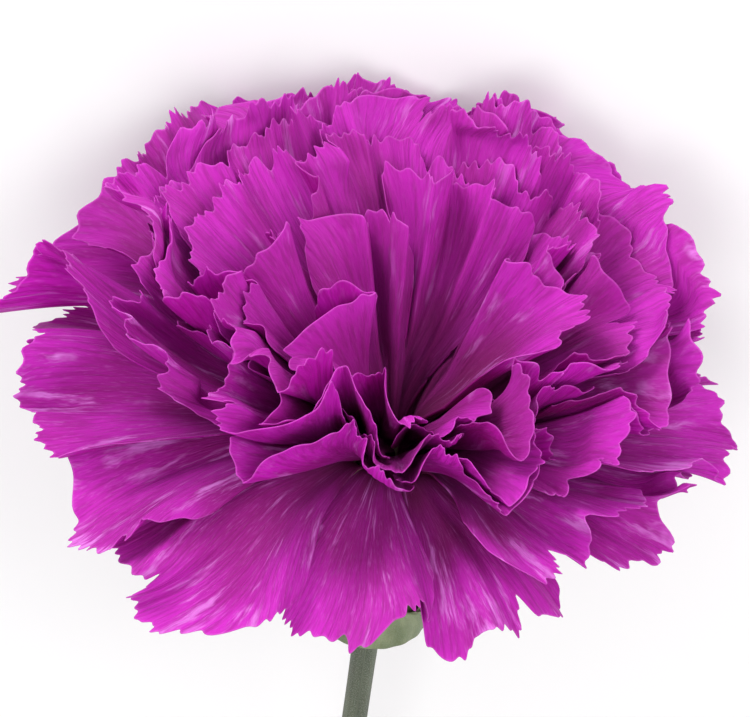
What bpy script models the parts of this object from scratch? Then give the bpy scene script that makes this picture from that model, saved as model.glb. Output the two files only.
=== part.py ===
"""Cut carnation, laid down. Metres, +Z up, origin under the middle of the object.

The flower is modelled in its own frame: its axis is local +Z, its zero is the centre of the calyx rim.
Each petal is a claw inside the calyx and a wide limb outside it. A petal is a surface over (theta, s):
theta runs around the axis, s along the petal, and psi(theta, s) says how far it leans out. Petals keep
their order from inner to outer at every (theta, s), which is what keeps them from crossing.
"""
import bpy
import bmesh
import math
import numpy as np
from mathutils import Vector

MM = 0.001
# ---- driving dimensions, millimetres and degrees ----
PETAL_T = 0.30            # petal thickness
CLAW_LEN = 17.0           # length of a claw below the calyx rim
CLAW_R_IN, CLAW_R_OUT = 1.05, 6.15
PSI_OUT = 96.0            # lean of the outermost petals
CALYX_LEN = 27.0
CALYX_R_RIM = 7.0
CALYX_T = 0.42
TOOTH = 3.2
STEM_D = 2.9
STEM_LEN = 122.0          # from the foot of the calyx to the cut
AXIS_TILT = 12.0          # the flower's axis above the ground as it lies
AXIS_HEIGHT = 28.2        # height of the calyx rim's centre before the floor is met
NODE_AT = 92.0            # stem node, from the foot of the calyx
LEAF_LEN, LEAF_W, LEAF_T = 52.0, 4.6, 0.55
ROWS = (-1.0, 0.0, 0.18, 0.42, 0.71, 1.0)   # -1 is the claw's foot, then shares of the limb
NECK = 6.0                # the limb's first row, where the petal turns outwards
# gap between neighbouring layers, mm, at the rim and at the margin
GAP_RIM, GAP_MARGIN = 0.90, 2.15

# ring 0 is the outermost ring of claws
# name, ring, theta, lean, half width (deg), limb length, slant, frill mm, frill waves, phase, edge curl
PETALS = [
    ("petal_core_a", 5, 215, 24, 36, 25, 10, 3.0, 1.5,  20,   4),
    ("petal_core_b", 5,   5, 28, 36, 29, -6, 3.0, 1.5, 200,   4),
    ("petal_core_c", 5, 122, 22, 30, 27,  8, 4.0, 2.0, 120,   6),
    ("petal_inner_a", 4,  30, 34, 34, 30,  8, 4.5, 2.0,  60,   4),
    ("petal_inner_b", 4, 302, 38, 38, 21, -6, 3.5, 2.0, 150,   4),
    ("petal_inner_c", 4, 256, 34, 34, 22,  6, 3.5, 1.5, 250,   0),
    ("petal_inner_d", 4,  74, 30, 34, 31, -8, 5.0, 2.5,  90,   4),
    ("petal_inner_e", 4, 180, 36, 36, 30,  8, 3.5, 1.5, 310,   0),
    ("petal_third_a", 3, 104, 41, 35, 34, -6, 4.0, 1.5,  30,   4),
    ("petal_third_b", 3, 146, 43, 35, 34,  8, 4.0, 2.0, 170,   4),
    ("petal_third_c", 3,  48, 43, 35, 33,  6, 4.0, 1.5, 260,   0),
    ("petal_third_d", 3, 206, 43, 38, 32, -8, 4.0, 1.5,  10,   0),
    ("petal_third_e", 3, 234, 46, 36, 28,  6, 4.0, 2.0, 100,  -4),
    ("petal_third_f", 3,  14, 46, 36, 31, -6, 4.0, 1.5, 210,   0),
    ("petal_third_g", 3, 332, 48, 38, 28,  8, 4.0, 2.0, 330,  -4),
    ("petal_mid_a", 2, 268, 52, 36, 24, -6, 3.5, 1.5,  80,  -4),
    ("petal_mid_b", 2, 134, 48, 36, 37,  8, 4.0, 2.0, 190,   0),
    ("petal_mid_c", 2, 168, 52, 36, 36, -6, 4.0, 1.5, 300,   0),
    ("petal_mid_d", 2,  86, 43, 38, 38,  6, 4.0, 1.5,  40,   0),
    ("petal_mid_e", 2, 216, 55, 36, 31, -8, 4.0, 1.5,   0,  -6),
    ("petal_mid_f", 2,  60, 46, 34, 37,  8, 4.0, 2.0, 240,   0),
    ("petal_mid_g", 2,  20, 53, 32, 34,  6, 4.0, 1.5, 110,   0),
    ("petal_mid_h", 2, 318, 56, 34, 26, -6, 3.5, 1.5, 200,  -4),
    ("petal_wide_a", 1,  74, 46, 33, 39.5, 5, 4.0, 1.5, 220,   0),
    ("petal_wide_b", 1, 150, 54, 33, 41, -6, 4.0, 2.0, 320,   0),
    ("petal_wide_c", 1, 100, 47, 33, 39,  6, 4.0, 1.5,  50,   0),
    ("petal_wide_d", 1, 245, 61, 34, 28, -6, 4.0, 2.0, 150,  -6),
    ("petal_wide_e", 1,   8, 60, 33, 32,  8, 4.5, 1.5, 250,   0),
    ("petal_wide_f", 1, 123, 50, 32, 39.5, -3, 3.5, 1.5, 190,   0),
    ("petal_wide_g", 1, 300, 60, 34, 25,  6, 4.0, 2.0,  70,  -4),
    ("petal_wide_h", 1,  52, 52, 32, 39.5, -5, 4.0, 1.5, 170,   0),
    ("petal_wide_i", 1, 342, 66, 32, 29,  5, 3.5, 1.5, 280,   0),
    ("petal_wide_j", 1, 188, 62, 34, 36,  8, 4.5, 1.5,  30,  -8),
    ("petal_outer_a", 0, 113, 50, 28, 40, -5, 3.0, 1.5, 130,   0),
    ("petal_outer_b", 0, 142, 60, 30, 42.5, 5, 3.5, 1.5, 230,   0),
    ("petal_outer_c", 0,  44, 56, 29, 38.5, -5, 3.5, 1.5, 330,   0),
    ("petal_outer_d", 0,  26, 65, 28, 34,  5, 3.5, 1.5,  20,   0),
    ("petal_outer_e", 0, 165, 74, 31, 42.5, -5, 3.5, 1.5, 120,   0),
    ("petal_outer_f", 0, 322, 82, 27, 28,  6, 3.5, 1.5, 220,   0),
    ("petal_outer_g", 0, 180, 84, 27, 39,  5, 3.5, 1.5, 310,   0),
    ("petal_outer_h", 0,  80, 50, 30, 41,  5, 3.5, 1.5,  70,   0),
    ("petal_guard_a", 0, 200, 92, 26, 34.5, -5, 3.0, 1.5, 60,   4),
    ("petal_guard_b", 0,   4, 79, 26, 34,  5, 3.0, 1.5, 160,   4),
    ("petal_guard_c", 0, 344, 86, 25, 30.5, -4, 3.0, 1.5, 260,  4),
    ("petal_guard_d", 0, 226, 96, 26, 33.5, 4, 3.0, 2.0,   0,   5),
    ("petal_guard_e", 0, 262, 97, 25, 27.5, -4, 2.5, 1.5, 100,  5),
    ("petal_guard_f", 0, 296, 97, 24, 27,  4, 2.5, 1.5, 200,   5),
]
CLAW_HALF = {5: 0.85, 4: 1.05, 3: 1.15, 2: 1.2, 1: 1.2, 0: 1.2}

for old in list(bpy.data.objects):
    bpy.data.objects.remove(old, do_unlink=True)
coll = bpy.data.collections.new("cut_carnation")
bpy.context.scene.collection.children.link(coll)


def material(name, colour, roughness):
    m = bpy.data.materials.new(name)
    m.use_nodes = True
    b = m.node_tree.nodes["Principled BSDF"]
    b.inputs["Base Color"].default_value = (*colour, 1.0)
    b.inputs["Roughness"].default_value = roughness
    b.inputs["Metallic"].default_value = 0.0
    m.diffuse_color = (*colour, 1.0)
    return m


def wrap(a):
    return (np.asarray(a) + 180.0) % 360.0 - 180.0


# ---- space around the axis: (s, psi) to radius and height ----
S_GRID = np.arange(0.0, 48.01, 0.5)
P_GRID = np.arange(0.0, 126.0, 1.0)


def spread_tables():
    w = np.clip((S_GRID + 1.0) / 9.0, 0.0, 1.0)
    w = w * w * (3 - 2 * w)
    inc = np.radians(P_GRID)[:, None] * w[None, :]
    r = np.zeros_like(inc)
    z = np.zeros_like(inc)
    for tab, f in ((r, np.sin(inc)), (z, np.cos(inc))):
        tab[:, 1:] = np.cumsum((f[:, 1:] + f[:, :-1]) * 0.25, axis=1)
    return r, z, np.concatenate([[0.0], np.cumsum((w[1:] + w[:-1]) * 0.25)])


TAB_R, TAB_Z, W_INT = spread_tables()


def claw_radius(psi):
    return CLAW_R_IN + (CLAW_R_OUT - CLAW_R_IN) * psi / PSI_OUT


def bilinear(tab, y, x):
    iy = np.clip(y.astype(int), 0, tab.shape[0] - 2)
    ix = np.clip(x.astype(int), 0, tab.shape[1] - 2)
    fy, fx = y - iy, x - ix
    return ((tab[iy, ix] * (1 - fx) + tab[iy, ix + 1] * fx) * (1 - fy)
            + (tab[iy + 1, ix] * (1 - fx) + tab[iy + 1, ix + 1] * fx) * fy)


def place(theta, s, psi):
    """Local position in mm of a point at theta (deg), s (mm), psi (deg)."""
    psi = np.clip(psi, 1.5, 124.0)
    sp = np.maximum(s, 0.0)
    r = claw_radius(np.minimum(psi, PSI_OUT)) + bilinear(TAB_R, psi, sp * 2)
    r = r * (1 - 0.28 * (np.clip(-s, 0, 20) / CLAW_LEN) ** 1.5)
    z = np.where(s < 0, s, bilinear(TAB_Z, psi, sp * 2))
    t = np.radians(theta)
    return np.stack([r * np.cos(t), r * np.sin(t), z], -1)


def mm_per_rad(s):
    slope = (CLAW_R_OUT - CLAW_R_IN) / math.radians(PSI_OUT)
    return slope + np.interp(np.maximum(s, 0), S_GRID, W_INT)


# ---- the petals' order and their claws ----
ORDER = sorted(PETALS, key=lambda p: (-p[1], p[3]))


def claw_angles():
    out = {}
    for ring in range(6):
        members = sorted([p for p in ORDER if p[1] == ring], key=lambda p: p[2] % 360)
        n = len(members)
        off = np.radians([p[2] - i * 360.0 / n for i, p in enumerate(members)])
        base = math.degrees(math.atan2(np.sin(off).mean(), np.cos(off).mean()))
        for i, p in enumerate(members):
            out[p[0]] = (base + i * 360.0 / n) % 360
    return out


CLAWS = claw_angles()
RING_PSI = {5: 9.0, 4: 26.0, 3: 44.0, 2: 61.0, 1: 78.0, 0: 95.0}


def petal_axis(p, s):
    """Centre line and half width in degrees at s."""
    grow = 1 - np.exp(-(np.maximum(s, 0) / 12.5) ** 1.8)
    turn = np.clip(s / 15.0, 0, 1)
    turn = turn * turn * (3 - 2 * turn)
    claw = CLAWS[p[0]]
    centre = claw + wrap(p[2] - claw) * turn
    half0 = math.degrees(CLAW_HALF[p[1]] / claw_radius(RING_PSI[p[1]]))
    return centre, half0 + (p[4] - half0) * grow


def limb_length(p, u):
    return p[5] * (1 - 0.20 * np.abs(u) ** 4)


def wanted_psi(p, k, theta, s):
    centre, half = petal_axis(p, s)
    u = np.clip(wrap(theta - centre) / half, -1.35, 1.35)
    t = np.clip(s / p[5], 0, 1.2)
    mix = np.clip((s - 1.0) / 11.0, 0, 1)
    mix = mix * mix * (3 - 2 * mix)
    psi = RING_PSI[p[1]] * (1 - mix) + p[3] * mix
    psi = psi + p[6] * u * t + p[10] * t ** 3
    wave = np.sin(math.pi * p[8] * u + math.radians(p[9]))
    wave = wave + 0.35 * np.sin(math.pi * 1.4 * p[8] * u + math.radians(1.7 * p[9] + 47 * k))
    return psi + np.degrees(p[7] * t ** 1.6 * wave / np.maximum(mm_per_rad(s), 6.0))


def petal_fields(step, s_nodes):
    """psi of every petal over the whole (theta, s) grid, in order and with gaps.

    At each grid point this is the nearest set of leans, in the least-squares sense, that keeps the
    order and the gaps (isotonic regression, in its min-max form).
    """
    theta = np.arange(0.0, 360.0, step)
    th, s = np.meshgrid(theta, s_nodes, indexing="ij")
    want, here = [], []
    for k, p in enumerate(ORDER):
        centre, half = petal_axis(p, s)
        off = np.abs(wrap(th - centre))
        u = np.clip(off / half, 0, 1)
        inside = np.clip(1 - (off - half) / (3.0 + 6.0 * np.clip(s / 10.0, 0, 1)), 0, 1)
        inside = inside * np.clip(1 - (s - limb_length(p, u)) / 4.0, 0, 1)
        want.append(wanted_psi(p, k, th, s))
        here.append(inside)
    x = np.stack(want, -1).reshape(-1, len(ORDER))
    pr = np.stack(here, -1).reshape(-1, len(ORDER))
    frac = np.clip(s.reshape(-1) / 36.0, 0, 1)
    gap = np.degrees((GAP_RIM + (GAP_MARGIN - GAP_RIM) * frac) / mm_per_rad(s.reshape(-1)))
    limit = np.where(s.reshape(-1) <= 2.0, PSI_OUT, 106.0)
    gap = np.minimum(gap, (limit - 4.0) / np.maximum(pr.sum(1), 1.0))
    c = gap[:, None] * (np.cumsum(pr, 1) - pr / 2)
    w = pr + 0.01
    n = x.shape[1]
    cw = np.concatenate([np.zeros((len(x), 1)), np.cumsum(w, 1)], 1)
    cx = np.concatenate([np.zeros((len(x), 1)), np.cumsum(w * (x - c), 1)], 1)
    y = np.full_like(x, -1e9)
    for i in range(n):
        mean = (cx[:, i + 1:] - cx[:, i:i + 1]) / (cw[:, i + 1:] - cw[:, i:i + 1])
        low = np.minimum.accumulate(mean[:, ::-1], 1)[:, ::-1]
        y[:, i:] = np.maximum(y[:, i:], low)
    y = np.maximum(y + c, 3.0 + c)
    y = np.minimum(y, limit[:, None] - (c[:, -1:] - c)).reshape(len(theta), len(s_nodes), n)
    for _ in range(2):
        y = 0.25 * np.roll(y, 1, 0) + 0.5 * y + 0.25 * np.roll(y, -1, 0)
    return y


S_NODES = np.array([-20.0, 0, 2, 4, 6, 9, 12, 16, 20, 25, 30, 35, 40, 46])
STEP = 4.0
FIELDS = petal_fields(STEP, S_NODES)


def field(k, theta, s):
    j = np.interp(s, S_NODES, np.arange(len(S_NODES)))
    i = (theta % 360.0) / STEP
    i0 = np.floor(i).astype(int)
    fi = i - i0
    j0 = np.clip(j.astype(int), 0, len(S_NODES) - 2)
    fj = j - j0
    f = FIELDS[:, :, k]
    n = f.shape[0]
    a = f[i0 % n, j0] * (1 - fj) + f[i0 % n, j0 + 1] * fj
    b = f[(i0 + 1) % n, j0] * (1 - fj) + f[(i0 + 1) % n, j0 + 1] * fj
    return a * (1 - fi) + b * fi


# ---- the way the flower lies ----
TILT = math.radians(AXIS_TILT)
UP_LOCAL = np.array([0.0, -math.cos(TILT), math.sin(TILT)])   # the ground's up in the flower's frame


def shears(theta, s, psi):
    """Two bends of the whole head. Each moves one coordinate by a function of the others."""
    t = np.clip(s / 36.0, 0, 1.2)
    th = np.radians(theta)
    psi = psi + 3.0 * t ** 2 * np.sin(5 * th + 0.6) + 2.0 * t ** 2 * np.sin(8 * th + 2.1)
    theta = theta + 5.0 * t ** 1.5 * np.sin(np.radians(psi) * 7 + 3 * t)
    return theta, psi


def press_down(p):
    """The lowest petals give where they meet the ground. Heights stay in order."""
    h = p @ UP_LOCAL + AXIS_HEIGHT
    low = np.where(h < 3.0, 3.0 - (3.0 - h) * 0.42, h)
    return p + (low - h)[..., None] * UP_LOCAL


def petal_point(k, u, v):
    """u in -1..1 across, v in -1..1: negative is the claw, positive the limb."""
    p = ORDER[k]
    s = np.where(v < 0, v * CLAW_LEN, np.where(v < ROWS[2], NECK * v / ROWS[2],
                 NECK + (limb_length(p, u) - NECK) * (v - ROWS[2]) / (1 - ROWS[2])))
    centre, half = petal_axis(p, s)
    theta = centre + u * half
    psi = field(k, theta, s)
    theta, psi = shears(theta, s, psi)
    return press_down(place(theta, s, psi))


rig = bpy.data.objects.new("carnation", None)
flower = bpy.data.objects.new("flower", None)
coll.objects.link(rig)
coll.objects.link(flower)
flower.parent = rig
flower.location = (0, 0, AXIS_HEIGHT * MM)
flower.rotation_euler = (-(math.pi / 2 - TILT), 0, 0)


def sheet(name, nu, nv, point, thickness, mat, parent, offset=0.0):
    """A grid bent into a surface by point(u, v) and given its thickness."""
    bm = bmesh.new()
    bmesh.ops.create_grid(bm, x_segments=nu, y_segments=nv, size=1.0)
    co = np.array([v.co[:] for v in bm.verts])
    new = point(co[:, 0], co[:, 1])
    for v, q in zip(bm.verts, new):
        v.co = Vector(q) * MM
    me = bpy.data.meshes.new(name)
    bm.to_mesh(me)
    bm.free()
    me.materials.append(mat)
    me.shade_smooth()
    ob = bpy.data.objects.new(name, me)
    coll.objects.link(ob)
    ob.parent = parent
    sol = ob.modifiers.new("thickness", "SOLIDIFY")
    sol.thickness = thickness * MM
    sol.offset = offset
    return ob


row_at = np.array(ROWS)


def make_petal(k):
    p = ORDER[k]
    cols = 8
    rows = len(ROWS) - 1

    def point(u, v):
        t = np.interp((v + 1) / 2 * rows, np.arange(rows + 1), row_at)
        return petal_point(k, u, t)
    tone = 0.85 + 0.3 * ((k * 7) % 5) / 4
    mat = material(p[0], (0.40 * tone, 0.006, 0.30 * tone), 0.5)
    return sheet(p[0], cols, rows, point, PETAL_T, mat, flower)


for k in range(len(ORDER)):
    make_petal(k)

# ---- calyx: a tube with five teeth ----
green = (0.16, 0.22, 0.07)


def calyx_radius(z):
    """Outer radius of the calyx, z from the rim down to -CALYX_LEN."""
    t = np.clip(-z / CALYX_LEN, 0, 1)
    side = CALYX_R_RIM + 0.35 - 3.0 * t ** 2.2
    foot = np.clip((t - 0.90) / 0.10, 0, 1)
    return 1.9 + (side - 1.9) * np.sqrt(np.clip(1 - foot ** 2, 0, 1))


def calyx_point(u, v):
    th = np.pi * u
    t = (v + 1) / 2
    tooth = TOOTH * (1 - np.abs(((u + 1) * 2.5) % 1 - 0.5) * 2)
    up = np.clip((t - 0.2) / 0.8, 0, 1)
    foot = np.radians(90 * np.clip(t / 0.2, 0, 1))
    z = -CALYX_LEN + CALYX_T + 2.7 * (1 - np.cos(foot)) + (CALYX_LEN - CALYX_T - 2.7 - TOOTH + tooth) * up
    side = calyx_radius(np.maximum(z, -0.9 * CALYX_LEN)) - CALYX_T
    r = np.where(t < 0.2, 0.7 + (side - 0.7) * np.sin(foot), side)
    return np.stack([r * np.cos(th), r * np.sin(th), z], -1)


calyx = sheet("calyx", 30, 10, calyx_point, CALYX_T, material("calyx", green, 0.55), flower, 1.0)
weld = calyx.modifiers.new("seam", "WELD")
weld.merge_threshold = 0.00001
calyx.modifiers.move(1, 0)

# ---- epicalyx: two crossed pairs of bracts ----


def bract_point(angle, length, half, lift):
    def point(u, v):
        t = (v + 1) / 2
        z = -CALYX_LEN + 3.2 + length * t * (1 - 0.16 * u * u * t)
        w = half * (0.34 + 0.66 * (1 - t ** 2.2))
        r = calyx_radius(z) + lift
        th = math.radians(angle) + np.radians(w * u)
        return np.stack([r * np.cos(th), r * np.sin(th), z], -1)
    return point


for i, (ang, length, half, lift) in enumerate(
        ((20, 9.0, 68, 0.60), (200, 9.0, 68, 0.60), (110, 7.0, 62, 1.40), (290, 7.0, 62, 1.40))):
    sheet("epicalyx_bract_%d" % (i + 1), 8, 4, bract_point(ang, length, half, lift), 0.35,
          material("epicalyx_%d" % (i + 1), (0.24, 0.28, 0.13), 0.6), flower)


# ---- tubes: the stem and the pistil ----
def tube(name, points, radii, mat, parent, res):
    cu = bpy.data.curves.new(name, "CURVE")
    cu.dimensions = "3D"
    cu.bevel_depth = MM
    cu.bevel_resolution = res
    cu.use_fill_caps = True
    sp = cu.splines.new("POLY")
    sp.points.add(len(points) - 1)
    for q, pt, rad in zip(sp.points, points, radii):
        q.co = (*[c * MM for c in pt], 1.0)
        q.radius = rad
    cu.materials.append(mat)
    ob = bpy.data.objects.new(name, cu)
    coll.objects.link(ob)
    ob.parent = parent
    ob.modifiers.new("caps", "WELD").merge_threshold = 0.00001
    return ob


pistil_z = np.array([-26.0, -25.0, -23.0, -20.0, -18.2, -17.6, -14.0, -9.0, -3.0])
pistil_r = np.array([0.9, 1.9, 2.3, 2.0, 1.0, 0.42, 0.34, 0.30, 0.26])
tube("pistil", [(0, 0, z) for z in pistil_z], pistil_r, material("pistil", (0.45, 0.52, 0.25), 0.5),
     flower, 3)


def rim_in_row():
    return np.array([0.0, 0.0, AXIS_HEIGHT])


AXIS = np.array([0.0, math.cos(TILT), math.sin(TILT)])
FOOT = rim_in_row() - AXIS * (CALYX_LEN + 0.35)


def stem_point(d):
    """Centre of the stem at d mm below the calyx, in the row's frame."""
    end = STEM_D / 2 + 0.02
    straight = FOOT - AXIS * d
    t = d / STEM_LEN
    drop = (FOOT - AXIS * STEM_LEN)[2] - end
    return straight + np.array([-5.0 * t ** 2, 0.0, -drop * t ** 1.8])


ds = np.concatenate([np.linspace(0, NODE_AT - 5, 12), NODE_AT + np.array([-2.6, -1.2, 0, 1.2, 2.6]),
                     np.linspace(NODE_AT + 5, STEM_LEN, 8)])
rad = STEM_D / 2 * (1 + 0.45 * np.exp(-((ds - NODE_AT) / 1.9) ** 2)) * (1 + 0.10 * np.exp(-ds / 3.0))
tube("stem", [stem_point(d) for d in ds], rad, material("stem", (0.17, 0.21, 0.12), 0.6), rig, 3)


# ---- the pair of leaves at the node ----
def leaf_point(side, droop, spread_deg, length):
    root = stem_point(NODE_AT - 1.2)
    out = np.array([math.sin(math.radians(spread_deg)) * side, math.cos(math.radians(spread_deg)), 0.0])

    def point(u, v):
        t = (v + 1) / 2
        along = length * t
        width = LEAF_W / 2 * np.sin(np.pi * np.clip(0.16 + 0.82 * t, 0, 1)) ** 0.55 + 0.05
        width = width * (0.45 + 0.55 * np.clip(t / 0.15, 0, 1))
        start = root + np.array([side * 3.25, 0.0, 0.0])
        ground = LEAF_T / 2 + 0.08
        h = start[2] + 3.0 * np.sin(np.pi * np.clip(t * 1.2, 0, 1)) * (1 - t)
        h = h * (1 - t ** droop) + ground * t ** droop
        q = start[None, :2] + along[:, None] * out[None, :2] * np.array([1.0, 1.0])
        perp = np.array([-out[1], out[0]])
        q = q + (u * width)[:, None] * perp[None, :]
        fold = 0.7 * np.abs(u) * (1 - t) * (1 - t)
        return np.stack([q[:, 0], q[:, 1], h + fold], -1)
    return point


leaf_mat = (0.20, 0.28, 0.19)
sheet("leaf_left", 4, 9, leaf_point(-1, 1.6, 34, LEAF_LEN), LEAF_T, material("leaf_left", leaf_mat, 0.6), rig)
sheet("leaf_right", 4, 9, leaf_point(1, 1.8, 28, LEAF_LEN * 0.9), LEAF_T,
      material("leaf_right", leaf_mat, 0.6), rig)

# ---- origin under the middle of everything, lowest point on the ground ----
bpy.context.view_layer.update()
dg = bpy.context.evaluated_depsgraph_get()
lo = np.full(3, 1e9)
hi = -lo
for ob in coll.objects:
    if ob.type == "EMPTY":
        continue
    ev = ob.evaluated_get(dg)
    me = ev.to_mesh()
    m = np.array(ob.matrix_world)
    pts = np.array([v.co[:] for v in me.vertices]) @ m[:3, :3].T + m[:3, 3]
    lo = np.minimum(lo, pts.min(0))
    hi = np.maximum(hi, pts.max(0))
    ev.to_mesh_clear()
rig.location = (-(lo[0] + hi[0]) / 2, -(lo[1] + hi[1]) / 2, -lo[2])
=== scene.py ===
"""Cut carnation, laid down: the visible surfaces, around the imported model."""
import bpy
import math
import numpy as np
from mathutils import Matrix, Vector


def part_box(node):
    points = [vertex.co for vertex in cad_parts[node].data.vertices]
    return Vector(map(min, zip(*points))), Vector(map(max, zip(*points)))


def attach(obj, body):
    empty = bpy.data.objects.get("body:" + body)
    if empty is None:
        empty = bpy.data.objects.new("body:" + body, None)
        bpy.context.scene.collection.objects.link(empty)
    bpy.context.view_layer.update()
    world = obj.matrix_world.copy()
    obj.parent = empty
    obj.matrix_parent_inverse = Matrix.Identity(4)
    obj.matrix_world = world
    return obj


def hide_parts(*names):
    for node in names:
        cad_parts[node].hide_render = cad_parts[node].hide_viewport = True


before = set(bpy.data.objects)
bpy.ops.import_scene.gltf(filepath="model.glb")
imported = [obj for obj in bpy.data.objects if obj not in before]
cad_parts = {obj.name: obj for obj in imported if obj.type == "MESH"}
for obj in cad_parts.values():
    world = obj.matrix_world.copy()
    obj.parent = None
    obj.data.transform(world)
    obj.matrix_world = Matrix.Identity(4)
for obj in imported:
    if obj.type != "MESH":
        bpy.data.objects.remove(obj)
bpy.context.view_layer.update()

MM = 0.001
CLAW_LEN = 17.0
CLAW_R_IN, CLAW_R_OUT = 1.05, 6.15
PSI_OUT = 96.0
CALYX_LEN, CALYX_R_RIM, CALYX_T, TOOTH = 27.0, 7.0, 0.42, 3.2
STEM_D, STEM_LEN, NODE_AT = 2.9, 122.0, 92.0
AXIS_TILT, AXIS_HEIGHT = 12.0, 28.2
LEAF_LEN, LEAF_W, LEAF_T = 52.0, 4.6, 0.55
NECK_V, NECK = 0.18, 6.0
GAP_RIM, GAP_MARGIN = 0.70, 1.15
CLAW_HALF = {5: 0.85, 4: 1.05, 3: 1.15, 2: 1.2, 1: 1.2, 0: 1.2}
RING_PSI = {5: 9.0, 4: 26.0, 3: 44.0, 2: 61.0, 1: 78.0, 0: 95.0}

# name, ring, theta, lean, half width (deg), limb length, slant, frill mm, frill waves, phase, edge curl
PETALS = [
    ("petal_core_a", 5, 215, 24, 36, 25, 10, 3.0, 1.5,  20,   4),
    ("petal_core_b", 5,   5, 28, 36, 29, -6, 3.0, 1.5, 200,   4),
    ("petal_core_c", 5, 122, 22, 30, 27,  8, 4.0, 2.0, 120,   6),
    ("petal_inner_a", 4,  30, 34, 34, 30,  8, 4.5, 2.0,  60,   4),
    ("petal_inner_b", 4, 302, 38, 38, 21, -6, 3.5, 2.0, 150,   4),
    ("petal_inner_c", 4, 256, 34, 34, 22,  6, 3.5, 1.5, 250,   0),
    ("petal_inner_d", 4,  74, 30, 34, 31, -8, 5.0, 2.5,  90,   4),
    ("petal_inner_e", 4, 180, 36, 36, 30,  8, 3.5, 1.5, 310,   0),
    ("petal_third_a", 3, 104, 41, 35, 34, -6, 4.0, 1.5,  30,   4),
    ("petal_third_b", 3, 146, 43, 35, 34,  8, 4.0, 2.0, 170,   4),
    ("petal_third_c", 3,  48, 43, 35, 33,  6, 4.0, 1.5, 260,   0),
    ("petal_third_d", 3, 206, 43, 38, 32, -8, 4.0, 1.5,  10,   0),
    ("petal_third_e", 3, 234, 46, 36, 28,  6, 4.0, 2.0, 100,  -4),
    ("petal_third_f", 3,  14, 46, 36, 31, -6, 4.0, 1.5, 210,   0),
    ("petal_third_g", 3, 332, 48, 38, 28,  8, 4.0, 2.0, 330,  -4),
    ("petal_mid_a", 2, 268, 52, 36, 24, -6, 3.5, 1.5,  80,  -4),
    ("petal_mid_b", 2, 134, 48, 36, 37,  8, 4.0, 2.0, 190,   0),
    ("petal_mid_c", 2, 168, 52, 36, 36, -6, 4.0, 1.5, 300,   0),
    ("petal_mid_d", 2,  86, 43, 38, 38,  6, 4.0, 1.5,  40,   0),
    ("petal_mid_e", 2, 216, 55, 36, 31, -8, 4.0, 1.5,   0,  -6),
    ("petal_mid_f", 2,  60, 46, 34, 37,  8, 4.0, 2.0, 240,   0),
    ("petal_mid_g", 2,  20, 53, 32, 34,  6, 4.0, 1.5, 110,   0),
    ("petal_mid_h", 2, 318, 56, 34, 26, -6, 3.5, 1.5, 200,  -4),
    ("petal_wide_a", 1,  74, 46, 33, 39.5, 5, 4.0, 1.5, 220,   0),
    ("petal_wide_b", 1, 150, 54, 33, 41, -6, 4.0, 2.0, 320,   0),
    ("petal_wide_c", 1, 100, 47, 33, 39,  6, 4.0, 1.5,  50,   0),
    ("petal_wide_d", 1, 245, 61, 34, 28, -6, 4.0, 2.0, 150,  -6),
    ("petal_wide_e", 1,   8, 60, 33, 32,  8, 4.5, 1.5, 250,   0),
    ("petal_wide_f", 1, 123, 50, 32, 39.5, -3, 3.5, 1.5, 190,   0),
    ("petal_wide_g", 1, 300, 60, 34, 25,  6, 4.0, 2.0,  70,  -4),
    ("petal_wide_h", 1,  52, 52, 32, 39.5, -5, 4.0, 1.5, 170,   0),
    ("petal_wide_i", 1, 342, 66, 32, 29,  5, 3.5, 1.5, 280,   0),
    ("petal_wide_j", 1, 188, 62, 34, 36,  8, 4.5, 1.5,  30,  -8),
    ("petal_outer_a", 0, 113, 50, 28, 40, -5, 3.0, 1.5, 130,   0),
    ("petal_outer_b", 0, 142, 60, 30, 42.5, 5, 3.5, 1.5, 230,   0),
    ("petal_outer_c", 0,  44, 56, 29, 38.5, -5, 3.5, 1.5, 330,   0),
    ("petal_outer_d", 0,  26, 65, 28, 34,  5, 3.5, 1.5,  20,   0),
    ("petal_outer_e", 0, 165, 74, 31, 42.5, -5, 3.5, 1.5, 120,   0),
    ("petal_outer_f", 0, 322, 82, 27, 28,  6, 3.5, 1.5, 220,   0),
    ("petal_outer_g", 0, 180, 84, 27, 39,  5, 3.5, 1.5, 310,   0),
    ("petal_outer_h", 0,  80, 50, 30, 41,  5, 3.5, 1.5,  70,   0),
    ("petal_guard_a", 0, 200, 92, 26, 34.5, -5, 3.0, 1.5, 60,   4),
    ("petal_guard_b", 0,   4, 79, 26, 34,  5, 3.0, 1.5, 160,   4),
    ("petal_guard_c", 0, 344, 86, 25, 30.5, -4, 3.0, 1.5, 260,  4),
    ("petal_guard_d", 0, 226, 96, 26, 33.5, 4, 3.0, 2.0,   0,   5),
    ("petal_guard_e", 0, 262, 97, 25, 27.5, -4, 2.5, 1.5, 100,  5),
    ("petal_guard_f", 0, 296, 97, 24, 27,  4, 2.5, 1.5, 200,   5),
]


def wrap(a):
    return (np.asarray(a) + 180.0) % 360.0 - 180.0


def smooth(x):
    x = np.clip(x, 0, 1)
    return x * x * (3 - 2 * x)


S_GRID = np.arange(0.0, 50.01, 0.5)
P_GRID = np.arange(0.0, 131.0, 1.0)


def spread_tables():
    w = smooth((S_GRID + 1.0) / 9.0)
    inc = np.radians(P_GRID)[:, None] * w[None, :]
    r = np.zeros_like(inc)
    z = np.zeros_like(inc)
    for tab, f in ((r, np.sin(inc)), (z, np.cos(inc))):
        tab[:, 1:] = np.cumsum((f[:, 1:] + f[:, :-1]) * 0.25, axis=1)
    return r, z, np.concatenate([[0.0], np.cumsum((w[1:] + w[:-1]) * 0.25)])


TAB_R, TAB_Z, W_INT = spread_tables()


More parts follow.
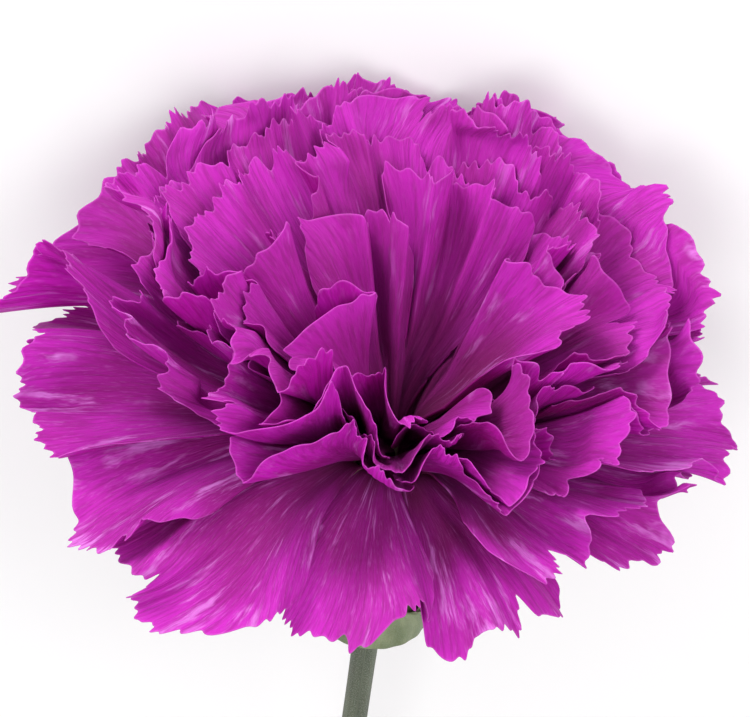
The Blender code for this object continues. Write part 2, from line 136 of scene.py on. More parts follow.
def claw_radius(psi):
    return CLAW_R_IN + (CLAW_R_OUT - CLAW_R_IN) * psi / PSI_OUT


def bilinear(tab, y, x):
    iy = np.clip(y.astype(int), 0, tab.shape[0] - 2)
    ix = np.clip(x.astype(int), 0, tab.shape[1] - 2)
    fy, fx = y - iy, x - ix
    return ((tab[iy, ix] * (1 - fx) + tab[iy, ix + 1] * fx) * (1 - fy)
            + (tab[iy + 1, ix] * (1 - fx) + tab[iy + 1, ix + 1] * fx) * fy)


def place(theta, s, psi):
    psi = np.clip(psi, 1.5, 128.0)
    sp = np.maximum(s, 0.0)
    r = claw_radius(np.minimum(psi, PSI_OUT)) + bilinear(TAB_R, psi, sp * 2)
    r = r * (1 - 0.28 * (np.clip(-s, 0, 20) / CLAW_LEN) ** 1.5)
    z = np.where(s < 0, s, bilinear(TAB_Z, psi, sp * 2))
    t = np.radians(theta)
    return np.stack([r * np.cos(t), r * np.sin(t), z], -1)


def mm_per_rad(s):
    slope = (CLAW_R_OUT - CLAW_R_IN) / math.radians(PSI_OUT)
    return slope + np.interp(np.maximum(s, 0), S_GRID, W_INT)


ORDER = sorted(PETALS, key=lambda p: (-p[1], p[3]))


def claw_angles():
    out = {}
    for ring in range(6):
        members = sorted([p for p in ORDER if p[1] == ring], key=lambda p: p[2] % 360)
        n = len(members)
        off = np.radians([p[2] - i * 360.0 / n for i, p in enumerate(members)])
        base = math.degrees(math.atan2(np.sin(off).mean(), np.cos(off).mean()))
        for i, p in enumerate(members):
            out[p[0]] = (base + i * 360.0 / n) % 360
    return out


CLAWS = claw_angles()


def petal_axis(p, s):
    grow = 1 - np.exp(-(np.maximum(s, 0) / 12.5) ** 1.8)
    turn = smooth(s / 15.0)
    claw = CLAWS[p[0]]
    centre = claw + wrap(p[2] - claw) * turn
    half0 = math.degrees(CLAW_HALF[p[1]] / claw_radius(RING_PSI[p[1]]))
    return centre, half0 + (p[4] - half0) * grow


def limb_length(p, u):
    return p[5] * (1 - 0.20 * np.abs(u) ** 4)


def rnd(k, j):
    """A fixed number in 0..1 for petal k and use j."""
    x = math.sin(k * 12.9898 + j * 78.233 + 1.7) * 43758.5453
    return x - math.floor(x)


def span_mm(p):
    """Width of the limb near its margin, in mm, for spacing frills and teeth."""
    r = 5.0 + p[5] * max(math.sin(math.radians(max(p[3], 12))), 0.25)
    return 2 * math.radians(p[4]) * r


def frills(p, k, u, t):
    """Frill out of the petal's surface, mm."""
    n = max(span_mm(p) / 8.5, 2.0)
    w = u + 0.07 * np.sin(3.1 * u + 6.3 * rnd(k, 1)) + 0.03 * np.sin(8.0 * u + 6.3 * rnd(k, 2))
    a = 2.0 * t ** 2.4 * np.sin(math.pi * n * w + 6.28 * rnd(k, 3) + 0.8 * t)
    a = a * (0.75 + 0.5 * np.sin(2.2 * u + 6.28 * rnd(k, 4)))
    b = 0.9 * t ** 4 * np.sin(math.pi * 2.3 * n * w + 6.28 * rnd(k, 5))
    return a + b


def wanted_psi(p, k, theta, s):
    centre, half = petal_axis(p, s)
    u = np.clip(wrap(theta - centre) / half, -1.35, 1.35)
    t = np.clip(s / p[5], 0, 1.2)
    mix = smooth((s - 1.0) / 11.0)
    psi = RING_PSI[p[1]] * (1 - mix) + p[3] * mix
    psi = psi + p[6] * u * t + p[10] * t ** 3
    wave = np.sin(math.pi * p[8] * u + math.radians(p[9]))
    wave = wave + 0.35 * np.sin(math.pi * 1.4 * p[8] * u + math.radians(1.7 * p[9] + 47 * k))
    mm = p[7] * t ** 1.6 * wave + frills(p, k, u, t)
    return psi + np.degrees(mm / np.maximum(mm_per_rad(s), 6.0))


def petal_fields(step, s_nodes):
    theta = np.arange(0.0, 360.0, step)
    th, s = np.meshgrid(theta, s_nodes, indexing="ij")
    want, here = [], []
    for k, p in enumerate(ORDER):
        centre, half = petal_axis(p, s)
        off = np.abs(wrap(th - centre))
        u = np.clip(off / half, 0, 1)
        inside = np.clip(1 - (off - half) / (3.0 + 6.0 * np.clip(s / 10.0, 0, 1)), 0, 1)
        inside = inside * np.clip(1 - (s - limb_length(p, u) - 1.0) / 4.0, 0, 1)
        want.append(wanted_psi(p, k, th, s))
        here.append(inside)
    x = np.stack(want, -1).reshape(-1, len(ORDER))
    pr = np.stack(here, -1).reshape(-1, len(ORDER))
    frac = np.clip(s.reshape(-1) / 36.0, 0, 1)
    gap = np.degrees((GAP_RIM + (GAP_MARGIN - GAP_RIM) * frac) / mm_per_rad(s.reshape(-1)))
    limit = np.where(s.reshape(-1) <= 2.0, PSI_OUT, 106.0)
    gap = np.minimum(gap, (limit - 4.0) / np.maximum(pr.sum(1), 1.0))
    c = gap[:, None] * (np.cumsum(pr, 1) - pr / 2)
    w = pr + 0.01
    n = x.shape[1]
    cw = np.concatenate([np.zeros((len(x), 1)), np.cumsum(w, 1)], 1)
    cx = np.concatenate([np.zeros((len(x), 1)), np.cumsum(w * (x - c), 1)], 1)
    y = np.full_like(x, -1e9)
    for i in range(n):
        mean = (cx[:, i + 1:] - cx[:, i:i + 1]) / (cw[:, i + 1:] - cw[:, i:i + 1])
        low = np.minimum.accumulate(mean[:, ::-1], 1)[:, ::-1]
        y[:, i:] = np.maximum(y[:, i:], low)
    y = np.maximum(y + c, 3.0 + c)
    y = np.minimum(y, limit[:, None] - (c[:, -1:] - c)).reshape(len(theta), len(s_nodes), n)
    for _ in range(2):
        y = 0.25 * np.roll(y, 1, 0) + 0.5 * y + 0.25 * np.roll(y, -1, 0)
    return y


S_NODES = np.concatenate([[-20.0, -1.0], np.arange(0.0, 48.5, 1.0)])
STEP = 1.0
FIELDS = petal_fields(STEP, S_NODES)


def field(k, theta, s):
    j = np.interp(s, S_NODES, np.arange(len(S_NODES)))
    i = (theta % 360.0) / STEP
    i0 = np.floor(i).astype(int)
    fi = i - i0
    j0 = np.clip(j.astype(int), 0, len(S_NODES) - 2)
    fj = j - j0
    f = FIELDS[:, :, k]
    n = f.shape[0]
    a = f[i0 % n, j0] * (1 - fj) + f[i0 % n, j0 + 1] * fj
    b = f[(i0 + 1) % n, j0] * (1 - fj) + f[(i0 + 1) % n, j0 + 1] * fj
    return a * (1 - fi) + b * fi


TILT = math.radians(AXIS_TILT)
UP_LOCAL = np.array([0.0, -math.cos(TILT), math.sin(TILT)])
AXIS = np.array([0.0, math.cos(TILT), math.sin(TILT)])
BACK = np.array([0.0, math.sin(TILT), -math.cos(TILT)])
TO_ROW = np.stack([np.array([1.0, 0, 0]), BACK, AXIS], 1)


def shears(theta, s, psi):
    t = np.clip(s / 36.0, 0, 1.2)
    th = np.radians(theta)
    psi = psi + 3.0 * t ** 2 * np.sin(5 * th + 0.6) + 2.0 * t ** 2 * np.sin(8 * th + 2.1)
    theta = theta + 5.0 * t ** 1.5 * np.sin(np.radians(psi) * 7 + 3 * t)
    theta = theta + 3.5 * t ** 2.5 * np.sin(np.radians(psi) * 15 + 2 * th)
    return theta, psi


def press_down(p):
    h = p @ UP_LOCAL + AXIS_HEIGHT
    low = np.where(h < 3.0, 3.0 - (3.0 - h) * 0.42, h)
    soft = 0.16 - SHIFT[2] + 0.7
    low = np.where(low < soft, soft - 0.7 + 0.7 * np.exp(np.minimum(low - soft, 0) / 0.7), low)
    return p + (low - h)[..., None] * UP_LOCAL


def to_row(p):
    return p @ TO_ROW.T + np.array([0.0, 0.0, AXIS_HEIGHT])


def stem_point(d):
    foot = np.array([0.0, 0.0, AXIS_HEIGHT]) - AXIS * (CALYX_LEN + 0.35)
    end = STEM_D / 2 + 0.02
    t = d / STEM_LEN
    drop = (foot - AXIS * STEM_LEN)[2] - end
    return foot - AXIS * d + np.array([-5.0 * t ** 2, 0.0, -drop * t ** 1.8])


def stem_radius(ds):
    return STEM_D / 2 * (1 + 0.45 * np.exp(-((ds - NODE_AT) / 1.9) ** 2)) * (1 + 0.10 * np.exp(-ds / 3.0))


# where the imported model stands, read from its stem
lo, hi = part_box("stem")
ends = np.array([stem_point(d) for d in np.linspace(0, STEM_LEN, 200)])
rr = stem_radius(np.linspace(0, STEM_LEN, 200))
mine_x = ((ends[:, 0] - rr).min() + (ends[:, 0] + rr).max()) / 2
dirs = AXIS
side_y = math.sqrt(1 - dirs[1] ** 2)
mine_y_hi = ends[0, 1] + rr[0] * side_y
SHIFT = np.array([(lo[0] + hi[0]) / 2 * 1000 - mine_x, hi[1] * 1000 - mine_y_hi, 0.0])
SHIFT[2] = hi[2] * 1000 - (ends[0, 2] + rr[0] * math.cos(TILT))


# ---------------------------------------------------------------- meshes
def new_mesh(name, verts_mm, quads, attrs):
    me = bpy.data.meshes.new(name)
    me.vertices.add(len(verts_mm))
    me.vertices.foreach_set("co", np.asarray((verts_mm + SHIFT) * MM, np.float32).ravel())
    me.loops.add(quads.size)
    me.loops.foreach_set("vertex_index", quads.astype(np.int32).ravel())
    me.polygons.add(len(quads))
    me.polygons.foreach_set("loop_start", np.arange(0, quads.size, 4, dtype=np.int32))
    me.update(calc_edges=True)
    for key, val in attrs.items():
        at = me.attributes.new(key, "FLOAT_VECTOR", "POINT")
        at.data.foreach_set("vector", np.asarray(val, np.float32).ravel())
    me.shade_smooth()
    ob = bpy.data.objects.new(name, me)
    bpy.context.scene.collection.objects.link(ob)
    return ob


def sheet(name, mid, thick, pq, tm):
    """A closed sheet around a grid of mid-surface points, mid (rows, cols, 3) in row-frame mm."""
    nv, nu = mid.shape[:2]
    n = np.cross(np.gradient(mid, axis=1), np.gradient(mid, axis=0))
    n /= np.maximum(np.linalg.norm(n, axis=-1, keepdims=True), 1e-9)
    top = mid + n * thick[..., None] / 2
    bot = mid - n * thick[..., None] / 2
    i = np.arange(nv * nu).reshape(nv, nu)
    q = np.stack([i[:-1, :-1], i[:-1, 1:], i[1:, 1:], i[1:, :-1]], -1).reshape(-1, 4)
    m = nv * nu
    ring = np.concatenate([i[0, :], i[1:, -1], i[-1, -2::-1], i[-2:0:-1, 0]])
    nxt = np.roll(ring, -1)
    rim = np.stack([ring, ring + m, nxt + m, nxt], -1)
    quads = np.concatenate([q, q[:, ::-1] + m, rim])
    tm2 = tm.copy()
    tm2[..., 2] = 1.0
    return new_mesh(name, np.concatenate([top.reshape(-1, 3), bot.reshape(-1, 3)]), quads,
                    {"pq": np.concatenate([pq.reshape(-1, 3)] * 2),
                     "tm": np.concatenate([tm.reshape(-1, 3), tm2.reshape(-1, 3)])})


def teeth(p, k, u):
    """How far the margin stands out at u, mm, and the ribs' phase."""
    def zigzag(pitch, a, b):
        ph = span_mm(p) / pitch * (u + 1) / 2 + a * np.sin(5.3 * u + 6.28 * rnd(k, 11)) + b * np.sin(13.7 * u + 6.28 * rnd(k, 12))
        return ph, smooth(1 - np.abs(2 * (ph - np.floor(ph)) - 1))
    ph, tri = zigzag(1.25, 0.55, 0.35)
    _, lobe = zigzag(4.6, 0.30, 0.15)
    size = 0.55 + 0.30 * np.sin(7.9 * u + 6.28 * rnd(k, 13)) + 0.20 * np.sin(19.0 * u + 6.28 * rnd(k, 14))
    big = 0.8 * np.sin(math.pi * 1.6 * u + 6.28 * rnd(k, 15)) + 0.4 * np.sin(math.pi * 3.7 * u + 6.28 * rnd(k, 16))
    notch_at = -0.6 + 1.2 * rnd(k, 17)
    notch = 2.4 * np.exp(-((u - notch_at) / 0.05) ** 2) * (1 if rnd(k, 18) > 0.35 else 0.3)
    corner = 3.4 * np.abs(u) ** 9
    return size * tri + 0.95 * lobe + big - notch - corner - 0.9, ph


NU, NV = 201, 60


def build_petal(k):
    p = ORDER[k]
    u = np.linspace(-1, 1, NU)
    a = np.linspace(0, 1, NV)
    v = np.concatenate([np.linspace(-1, 0, 5)[:-1], (1 - (1 - a[:NV - 4] / a[NV - 5]) ** 1.35)])
    uu, vv = np.meshgrid(u, v)
    out, phase = teeth(p, k, u)
    edge = limb_length(p, uu) + out[None, :]
    s = np.where(vv < 0, vv * CLAW_LEN, vv * edge)
    centre, half = petal_axis(p, s)
    t = np.clip(s / p[5], 0, 1.2)
    theta = centre + uu * half
    psi = field(k, theta, s)
    rib = 0.09 * t ** 2 * np.sin(2 * math.pi * phase)[None, :] * (0.4 + 0.6 * rnd(k, 19))
    psi = psi + np.degrees(rib / np.maximum(mm_per_rad(s), 6.0))
    theta, psi = shears(theta, s, psi)
    mid = to_row(press_down(place(theta, s, psi)))
    left = edge - s
    thick = 0.30 - 0.17 * smooth((s - 8) / 24)
    thick = np.minimum(thick, 0.09 + 0.10 * np.clip(left, 0, 2))
    pq = np.stack([uu * span_mm(p) / 2, s, np.full_like(s, k * 7.31)], -1)
    tm = np.stack([t, left, np.zeros_like(s)], -1)
    return sheet("petal_" + p[0][6:] + "_v", mid, thick, pq, tm)


# ---------------------------------------------------------------- materials
class Nodes:
    def __init__(self, name):
        self.m = bpy.data.materials.new(name)
        self.m.use_nodes = True
        self.t = self.m.node_tree
        self.b = self.t.nodes["Principled BSDF"]

    def node(self, kind, **props):
        n = self.t.nodes.new(kind)
        for key, val in props.items():
            setattr(n, key, val)
        return n

    def put(self, sock, val):
        if hasattr(val, "is_output"):
            self.t.links.new(val, sock)
        elif isinstance(val, tuple) and len(val) == 3 and sock.type == "RGBA":
            sock.default_value = (*val, 1.0)
        else:
            sock.default_value = val

    def math(self, op, a, b=0.0, c=None, clamp=False):
        n = self.node("ShaderNodeMath", operation=op, use_clamp=clamp)
        self.put(n.inputs[0], a)
        self.put(n.inputs[1], b)
        if c is not None:
            self.put(n.inputs[2], c)
        return n.outputs[0]

    def mix(self, f, a, b, blend="MIX"):
        n = self.node("ShaderNodeMix", data_type="RGBA", blend_type=blend)
        self.put(n.inputs[0], f)
        self.put(n.inputs[6], a)
        self.put(n.inputs[7], b)
        return n.outputs[2]

    def attr(self, name):
        a = self.node("ShaderNodeAttribute", attribute_type="GEOMETRY", attribute_name=name)
        s = self.node("ShaderNodeSeparateXYZ")
        self.put(s.inputs[0], a.outputs["Vector"])
        return s.outputs[0], s.outputs[1], s.outputs[2]

    def noise(self, x, y, z, scale=1.0, detail=2.0, rough=0.5):
        c = self.node("ShaderNodeCombineXYZ")
        self.put(c.inputs[0], x)
        self.put(c.inputs[1], y)
        self.put(c.inputs[2], z)
        n = self.node("ShaderNodeTexNoise")
        self.put(n.inputs["Vector"], c.outputs[0])
        n.inputs["Scale"].default_value = scale
        n.inputs["Detail"].default_value = detail
        n.inputs["Roughness"].default_value = rough
        return n.outputs["Fac"]

    def ramp(self, x, lo_, hi_):
        n = self.node("ShaderNodeMapRange", interpolation_type="SMOOTHSTEP")
        self.put(n.inputs["Value"], x)
        n.inputs["From Min"].default_value = lo_
        n.inputs["From Max"].default_value = hi_
        return n.outputs["Result"]

    def bump(self, height, strength, dist):
        n = self.node("ShaderNodeBump")
        n.inputs["Strength"].default_value = strength
        n.inputs["Distance"].default_value = dist
        self.put(n.inputs["Height"], height)
        self.t.links.new(n.outputs[0], self.b.inputs["Normal"])


DEEP = (0.195, 0.0006, 0.100)
MAIN = (0.300, 0.0008, 0.205)
BRIGHT = (0.540, 0.0120, 0.455)
PALE = (0.760, 0.2400, 0.770)
RIM = (0.660, 0.1300, 0.590)
# painted shade: the deep crimson of the crevices between petals
CREVICE_SHADE = (0.125, 0.0006, 0.044)


def petal_material(k):
    p = ORDER[k]
    n = Nodes("petal_look_" + p[0][6:])
    x, y, z = n.attr("pq")
    t, left, side = n.attr("tm")
    guard = 1.0 if p[1] == 0 and p[3] > 78 else (0.45 if p[1] < 2 else 0.0)
    broad = n.noise(n.math("MULTIPLY", x, 0.10), n.math("MULTIPLY", y, 0.09), z, detail=1.0)
    sway = n.noise(n.math("MULTIPLY", x, 0.22), n.math("MULTIPLY", y, 0.26), n.math("ADD", z, 1.9), detail=2.0)
    xs = n.math("ADD", x, n.math("MULTIPLY", n.math("SUBTRACT", sway, 0.5), 1.1))
    streak = n.noise(n.math("MULTIPLY", xs, 0.72), n.math("MULTIPLY", y, 0.075), z, detail=5.0, rough=0.68)
    patch = n.noise(n.math("MULTIPLY", x, 0.34), n.math("MULTIPLY", y, 0.15), n.math("ADD", z, 3.7), detail=3.0)
    vein = n.noise(n.math("MULTIPLY", x, 3.0), n.math("MULTIPLY", y, 0.20), z, detail=3.0, rough=0.60)
    hair = n.noise(n.math("MULTIPLY", x, 7.5), n.math("MULTIPLY", y, 0.75), z, detail=2.0)
    # random broad tone, plus a painted highlight that brightens each petal towards its margin
    tone_and_margin_highlight = n.math("ADD", n.math("MULTIPLY", n.ramp(broad, 0.34, 0.70), 0.65), n.math("MULTIPLY", n.ramp(t, 0.50, 1.02), 0.55), clamp=True)
    col = n.mix(tone_and_margin_highlight, DEEP if rnd(k, 31) < 0.3 else MAIN, BRIGHT)
    col = n.mix(n.math("MULTIPLY", n.ramp(vein, 0.42, 0.66), 0.42), col, DEEP)
    # the pale streaks and fine hairs are the petals' own colour; their extra strength on the guard petals is
    # painted highlight
    amount = 0.22 + 0.28 * rnd(k, 32) + 0.50 * guard
    pale = n.math("MULTIPLY", n.ramp(streak, 0.53 - 0.02 * guard, 0.66), n.ramp(patch, 0.46 - 0.03 * guard, 0.58))
    col = n.mix(n.math("MULTIPLY", pale, amount), col, PALE)
    col = n.mix(n.math("MULTIPLY", n.ramp(hair, 0.52, 0.72), 0.05 + 0.09 * guard), col, PALE)
    rim = n.math("SUBTRACT", 1.0, n.ramp(left, 0.02, 0.26))
    rim = n.math("MULTIPLY", rim, n.math("ADD", 0.05, n.math("MULTIPLY", streak, 0.55)))
    col = n.mix(rim, col, RIM)
    # painted shade: each petal darkens to deep crimson from its base outwards, where the crevices between petals
    # lie; it reaches less far on the guard petals
    crevice_shade = n.math("SUBTRACT", 1.0, n.ramp(n.math("ADD", t, n.math("MULTIPLY", streak, 0.20)), 0.22, 0.82 - 0.30 * guard))
    col = n.mix(n.math("MULTIPLY", crevice_shade, 0.86), col, CREVICE_SHADE)
    base = n.math("SUBTRACT", 1.0, n.ramp(t, 0.0, 0.10))
    col = n.mix(n.math("MULTIPLY", base, 0.75), col, (0.30, 0.30, 0.15))
    col = n.mix(n.math("MULTIPLY", side, 0.06), col, PALE)
    n.put(n.b.inputs["Base Color"], col)
    n.put(n.b.inputs["Roughness"], n.math("ADD", 0.44, n.math("MULTIPLY", vein, 0.22)))
    n.b.inputs["Specular IOR Level"].default_value = 0.10
    n.b.inputs["Sheen Weight"].default_value = 0.03
    n.b.inputs["Sheen Roughness"].default_value = 0.45
    n.b.inputs["Sheen Tint"].default_value = (0.85, 0.35, 0.80, 1)
    n.b.inputs["Subsurface Weight"].default_value = 0.10
    n.b.inputs["Subsurface Radius"].default_value = (1.0, 0.15, 0.8)
    n.b.inputs["Subsurface Scale"].default_value = 0.0012
    h = n.math("ADD", vein, n.math("MULTIPLY", hair, 0.45))
    n.bump(h, 0.75, 0.00024)
    return n.m


def green_material(name, dark, light, long_scale, cross, bloom, rough=0.5):
    n = Nodes(name)
    x, y, z = n.attr("pq")
    t, left, side = n.attr("tm")
    broad = n.noise(n.math("MULTIPLY", x, 0.25), n.math("MULTIPLY", y, long_scale), z, detail=3.0)
    fine = n.noise(n.math("MULTIPLY", x, cross), n.math("MULTIPLY", y, long_scale * 0.6), z, detail=2.0)
    speck = n.noise(n.math("MULTIPLY", x, 6.0), n.math("MULTIPLY", y, 6.0), z, detail=3.0)
    col = n.mix(n.ramp(broad, 0.3, 0.7), dark, light)
    col = n.mix(n.math("MULTIPLY", n.ramp(fine, 0.45, 0.62), 0.35), col, dark)
    col = n.mix(n.math("MULTIPLY", n.ramp(speck, 0.42, 0.65), bloom), col, (0.42, 0.46, 0.40))
    rim = n.math("SUBTRACT", 1.0, n.ramp(left, 0.0, 0.7))
    col = n.mix(n.math("MULTIPLY", rim, 0.6), col, (0.50, 0.50, 0.36))
    n.put(n.b.inputs["Base Color"], col)
    n.put(n.b.inputs["Roughness"], n.math("ADD", rough - 0.08, n.math("MULTIPLY", speck, 0.2)))
    n.b.inputs["Subsurface Weight"].default_value = 0.05
    n.b.inputs["Subsurface Scale"].default_value = 0.001
    n.bump(n.math("ADD", fine, n.math("MULTIPLY", speck, 0.3)), 0.5, 0.00018)
    return n.m


def finish_piece(ob, node, mat):
    ob.data.materials.append(mat)
    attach(ob, "root")
    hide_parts(node)


for k in range(len(ORDER)):
    finish_piece(build_petal(k), ORDER[k][0], petal_material(k))


# ---------------------------------------------------------------- calyx and bracts
def calyx_radius(z):
    t = np.clip(-z / CALYX_LEN, 0, 1)
    side = CALYX_R_RIM + 0.35 - 3.0 * t ** 2.2
    foot = np.clip((t - 0.90) / 0.10, 0, 1)
    return 1.9 + (side - 1.9) * np.sqrt(np.clip(1 - foot ** 2, 0, 1))


def tube_sheet(name, mid, thick, pq, tm):
    """Like sheet, but closed around: the last column meets the first."""
    nv, nu = mid.shape[:2]
    du = np.roll(mid, -1, 1) - np.roll(mid, 1, 1)
    n = np.cross(du, np.gradient(mid, axis=0))
    n /= np.maximum(np.linalg.norm(n, axis=-1, keepdims=True), 1e-9)
    top = mid + n * thick[..., None] / 2
    bot = mid - n * thick[..., None] / 2
    i = np.arange(nv * nu).reshape(nv, nu)
    j = np.roll(i, -1, 1)
    m = nv * nu
    q = np.stack([i[:-1], j[:-1], j[1:], i[1:]], -1).reshape(-1, 4)
    up = np.stack([i[-1], j[-1], j[-1] + m, i[-1] + m], -1)
    dn = np.stack([j[0], i[0], i[0] + m, j[0] + m], -1)
    quads = np.concatenate([q, q[:, ::-1] + m, up, dn])
    return new_mesh(name, np.concatenate([top.reshape(-1, 3), bot.reshape(-1, 3)]), quads,
                    {"pq": np.concatenate([pq.reshape(-1, 3)] * 2),
                     "tm": np.concatenate([tm.reshape(-1, 3)] * 2)})


def build_calyx():
    th = np.linspace(-math.pi, math.pi, 241)[:-1]
    t = np.linspace(0, 1, 90)
    hh, tt = np.meshgrid(th, t)
    lobe = (hh / math.pi + 1) * 2.5
    tooth = TOOTH * (1 - np.abs(lobe % 1 - 0.5) * 2) ** 1.15
    up = np.clip((tt - 0.2) / 0.8, 0, 1)
    foot = np.radians(90 * np.clip(tt / 0.2, 0, 1))
    z = -CALYX_LEN + CALYX_T + 2.7 * (1 - np.cos(foot)) + (CALYX_LEN - CALYX_T - 2.7 - TOOTH + tooth) * up
    side = calyx_radius(np.maximum(z, -0.9 * CALYX_LEN)) - CALYX_T / 2
    r = np.where(tt < 0.2, 0.7 + (side - 0.7) * np.sin(foot), side)
    r = r + 0.05 * np.cos(25 * hh) * up
    p = np.stack([r * np.cos(hh), r * np.sin(hh), z], -1)
    left = (1 - tt) * (CALYX_LEN - TOOTH + tooth)
    thick = np.minimum(CALYX_T, 0.12 + 0.3 * left)
    return tube_sheet("calyx_v", to_row(p), thick, np.stack([hh * 6, z, hh * 0], -1),
                      np.stack([tt, left, hh * 0], -1))


finish_piece(build_calyx(), "calyx",
             green_material("calyx_look", (0.070, 0.112, 0.034), (0.150, 0.205, 0.075), 0.12, 1.6, 0.10))


def build_bract(i, angle, length, half, lift):
    u = np.linspace(-1, 1, 61)
    t = np.linspace(0, 1, 46)
    uu, tt = np.meshgrid(u, t)
    z = -CALYX_LEN + 3.2 + length * tt * (1 - 0.16 * uu * uu * tt)
    w = half * (0.10 + 0.90 * (1 - tt ** 2.2) ** 0.9)
    r = calyx_radius(z) + lift + 0.05 * np.cos(uu * 20) * (1 - tt)
    th = math.radians(angle) + np.radians(w * uu)
    p = np.stack([r * np.cos(th), r * np.sin(th), z], -1)
    left = np.minimum((1 - tt) * length, (1 - np.abs(uu)) * 6)
    return sheet("epicalyx_bract_%d_v" % i, to_row(p), np.minimum(0.34, 0.10 + 0.25 * left),
                 np.stack([uu * 7, z, uu * 0 + i], -1), np.stack([tt, left, uu * 0], -1))


for i, (ang, length, half, lift) in enumerate(
        ((20, 9.0, 68, 0.60), (200, 9.0, 68, 0.60), (110, 7.0, 62, 1.40), (290, 7.0, 62, 1.40))):
    finish_piece(build_bract(i + 1, ang, length, half, lift), "epicalyx_bract_%d" % (i + 1),
                 green_material("bract_look_%d" % (i + 1), (0.110, 0.150, 0.055), (0.250, 0.290, 0.150),
                                0.15, 1.3, 0.18))


# ---------------------------------------------------------------- stem and pistil
def pipe(name, pts, radii, sides=40, rib=0.0):
    pts = np.asarray(pts)
    tan = np.gradient(pts, axis=0)
    tan /= np.linalg.norm(tan, axis=1, keepdims=True)
    a = np.cross(tan, [1.0, 0.0, 0.0])
    a /= np.linalg.norm(a, axis=1, keepdims=True)
    b = np.cross(tan, a)
    ang = np.linspace(0, 2 * math.pi, sides + 1)[:-1]
    rr_ = radii[:, None] * (1 + rib * np.cos(ang * 9)[None, :])
    ring = pts[:, None] + rr_[..., None] * (np.cos(ang)[None, :, None] * a[:, None] + np.sin(ang)[None, :, None] * b[:, None])
    length = np.concatenate([[0], np.cumsum(np.linalg.norm(np.diff(pts, axis=0), axis=1))])
    rows = [ring]
    # both ends close with shrinking rings, then a small quad fan
    def cap(c, rg, shifts):
        return [c + (rg - c) * f + o for f, o in shifts]
    head = cap(pts[0], ring[0], [(0.06, 0), (0.5, 0), (0.88, 0)])
    tail = cap(pts[-1], ring[-1], [(0.90, 0), (0.5, 0), (0.06, 0)])
    full = np.concatenate([np.array(head), ring, np.array(tail)])
    nv = len(full)
    ll = np.concatenate([[0] * 3, length, [length[-1]] * 3])
    i = np.arange(nv * sides).reshape(nv, sides)
    j = np.roll(i, -1, 1)
    q = np.stack([i[:-1], i[1:], j[1:], j[:-1]], -1).reshape(-1, 4)
    half = sides // 2
    first = [[i[0, c], i[0, c + 1], i[0, sides - 2 - c], i[0, sides - 1 - c]] for c in range(half - 1)]
    last = [[i[-1, c + 1], i[-1, c], i[-1, sides - 1 - c], i[-1, sides - 2 - c]] for c in range(half - 1)]
    quads = np.concatenate([q, np.array(first), np.array(last)])
    verts = full.reshape(-1, 3)
    c0 = verts.mean(0)
    e1 = verts[quads[:, 1]] - verts[quads[:, 0]]
    e2 = verts[quads[:, 2]] - verts[quads[:, 0]]
    vol = np.einsum("ij,ij->i", verts[quads[:, 0]] - c0, np.cross(e1, e2)).sum()
    if vol < 0:
        quads = quads[:, ::-1]
    pq = np.stack([np.tile(ang * 1.5, (nv, 1)), np.tile(ll[:, None], (1, sides)), np.zeros((nv, sides))], -1)
    tm = np.stack([pq[..., 1] * 0, pq[..., 1] * 0 + 5, pq[..., 1] * 0], -1)
    return new_mesh(name, verts, quads, {"pq": pq.reshape(-1, 3), "tm": tm.reshape(-1, 3)})


# the stem runs on to the foot of the calyx, so that no light shows between them
ds = np.linspace(0, STEM_LEN, 260)
reach = np.array([0.35 + CALYX_T / 2 + 0.04, 0.35])
stem_line = [stem_point(0.0) + AXIS * e for e in reach] + [stem_point(d) for d in ds]
stem_r = np.concatenate([stem_radius(-reach * 0), stem_radius(ds)])
finish_piece(pipe("stem_v", stem_line, stem_r, rib=0.012), "stem",
             green_material("stem_look", (0.050, 0.062, 0.036), (0.125, 0.145, 0.088), 0.05, 1.8, 0.25, 0.55))

pz = np.interp(np.linspace(0, 8, 120), np.arange(9), [-26.0, -25.0, -23.0, -20.0, -18.2, -17.6, -14.0, -9.0, -3.0])
pr_ = np.interp(np.linspace(0, 8, 120), np.arange(9), [0.9, 1.9, 2.3, 2.0, 1.0, 0.42, 0.34, 0.30, 0.26])
finish_piece(pipe("pistil_v", to_row(np.stack([pz * 0, pz * 0, pz], -1)), pr_), "pistil",
             green_material("pistil_look", (0.28, 0.36, 0.14), (0.48, 0.54, 0.28), 0.2, 1.5, 0.05))


# ---------------------------------------------------------------- leaves
def build_leaf(name, side, droop, spread_deg, length, seed):
    u = np.linspace(-1, 1, 41)
    t = np.linspace(0, 1, 150)
    uu, tt = np.meshgrid(u, t)
    root = stem_point(NODE_AT - 1.2)
    out = np.array([math.sin(math.radians(spread_deg)) * side, math.cos(math.radians(spread_deg))])
    width = LEAF_W / 2 * np.sin(np.pi * np.clip(0.16 + 0.82 * tt, 0, 1)) ** 0.55 + 0.05
    width = width * (0.45 + 0.55 * np.clip(tt / 0.15, 0, 1))
    ground = LEAF_T / 2 + 0.08
    h = root[2] + 3.0 * np.sin(np.pi * np.clip(tt * 1.2, 0, 1)) * (1 - tt)
    h = h * (1 - tt ** droop) + ground * tt ** droop
    fold = 0.7 * np.abs(uu) * (1 - tt) * (1 - tt)
    foot = 3.25 - 0.95 * np.exp(-tt / 0.03)      # the base closes on the node
    mid = np.stack([root[0] + side * foot + length * tt * out[0] - out[1] * uu * width,
                    root[1] + length * tt * out[1] + out[0] * uu * width, h + fold], -1)
    left = np.minimum((1 - np.abs(uu)) * width, (1 - tt) * length)
    thick = np.minimum(LEAF_T * (1 - 0.45 * tt), 0.14 + 0.5 * left) + 0.10 * np.exp(-(uu / 0.12) ** 2) * (1 - tt)
    thick = np.minimum(thick, LEAF_T)
    return sheet(name, mid, thick, np.stack([uu * 2.3, tt * length, uu * 0 + seed], -1),
                 np.stack([tt, left, uu * 0], -1))


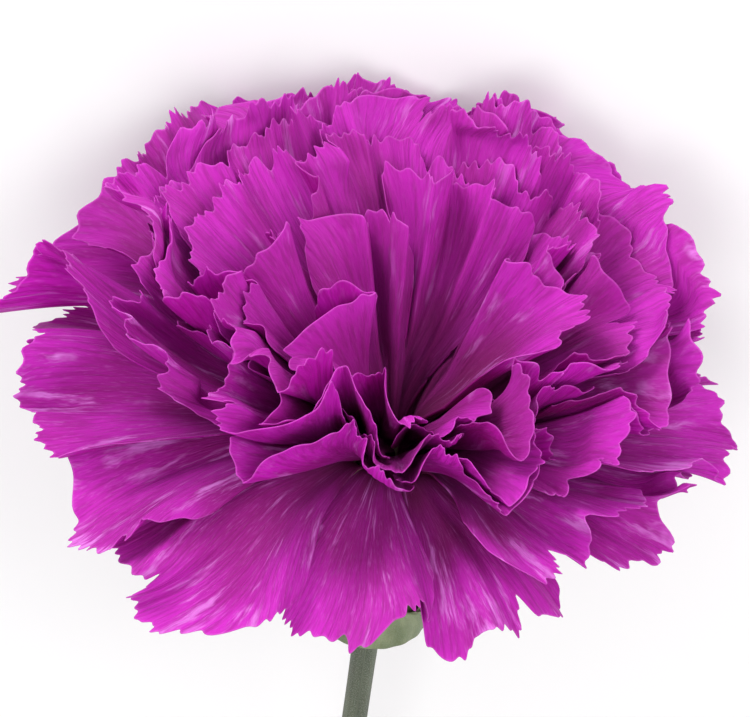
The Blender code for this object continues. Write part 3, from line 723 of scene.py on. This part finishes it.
for name, side, droop, spread_deg, length in (("leaf_left", -1, 1.6, 34, LEAF_LEN),
                                              ("leaf_right", 1, 1.8, 28, LEAF_LEN * 0.9)):
    finish_piece(build_leaf(name + "_v", side, droop, spread_deg, length, 40 + side), name,
                 green_material(name + "_look", (0.120, 0.190, 0.105), (0.215, 0.300, 0.185), 0.06, 2.6, 0.35))


# ---------------------------------------------------------------- floor, light, camera
bpy.ops.mesh.primitive_plane_add(size=6, location=(0, 0, 0))
floor = bpy.context.object
floor.name = "floor"
fm = Nodes("floor_look")
fx = fm.node("ShaderNodeTexNoise")
fx.inputs["Scale"].default_value = 60.0
fm.b.inputs["Roughness"].default_value = 0.75
fm.put(fm.b.inputs["Base Color"], fm.mix(fx.outputs["Fac"], (0.95, 0.95, 0.95), (0.97, 0.97, 0.97)))
floor.data.materials.append(fm.m)

world = bpy.data.worlds.new("studio")
bpy.context.scene.world = world
world.use_nodes = True
world.node_tree.nodes["Background"].inputs[0].default_value = (1, 1, 1, 1)
world.node_tree.nodes["Background"].inputs[1].default_value = 0.78

E, TAU, PX, DIST = math.radians(40), math.radians(7.5), 8.97, 0.60
RIM_AT = (388.0, 458.0)
rim = Vector((np.array([0.0, 0.0, AXIS_HEIGHT]) + SHIFT) * MM)
ax, up_, right = Vector(AXIS), Vector(-BACK), Vector((1, 0, 0))
to_cam = ax * math.sin(E) + up_ * math.cos(E)
cu = ax * math.cos(E) - up_ * math.sin(E)
cr = right * math.cos(TAU) + cu * math.sin(TAU)
cv = -right * math.sin(TAU) + cu * math.cos(TAU)
target = rim + cr * ((372 - RIM_AT[0]) / PX * MM) - cv * ((363.5 - RIM_AT[1]) / PX * MM)
cam = bpy.data.cameras.new("camera")
cam_ob = bpy.data.objects.new("camera", cam)
bpy.context.scene.collection.objects.link(cam_ob)
m = Matrix((cr, cv, to_cam)).transposed().to_4x4()
m.translation = target + to_cam * DIST
cam_ob.matrix_world = m
cam.sensor_width = 36.0
cam.lens = 36.0 * DIST / (750 / PX * MM)
cam.clip_start = 0.01
bpy.context.scene.camera = cam_ob


def area(name, at, size, power):
    li = bpy.data.lights.new(name, "AREA")
    li.shape = "DISK"
    li.size = size
    li.energy = power
    ob = bpy.data.objects.new(name, li)
    bpy.context.scene.collection.objects.link(ob)
    ob.location = target + at
    ob.rotation_euler = at.to_track_quat("Z", "Y").to_euler()


area("key", (to_cam * 0.55 + cv * 0.85 - cr * 0.55), 0.55, 9.0)
area("fill", (to_cam * 0.95 + cr * 0.75 + cv * 0.10), 0.70, 4.0)
area("front", (to_cam * 1.10 - cv * 0.45 - cr * 0.25), 0.60, 3.0)

bpy.context.scene.view_settings.view_transform = "Standard"
bpy.context.scene.view_settings.look = "None"
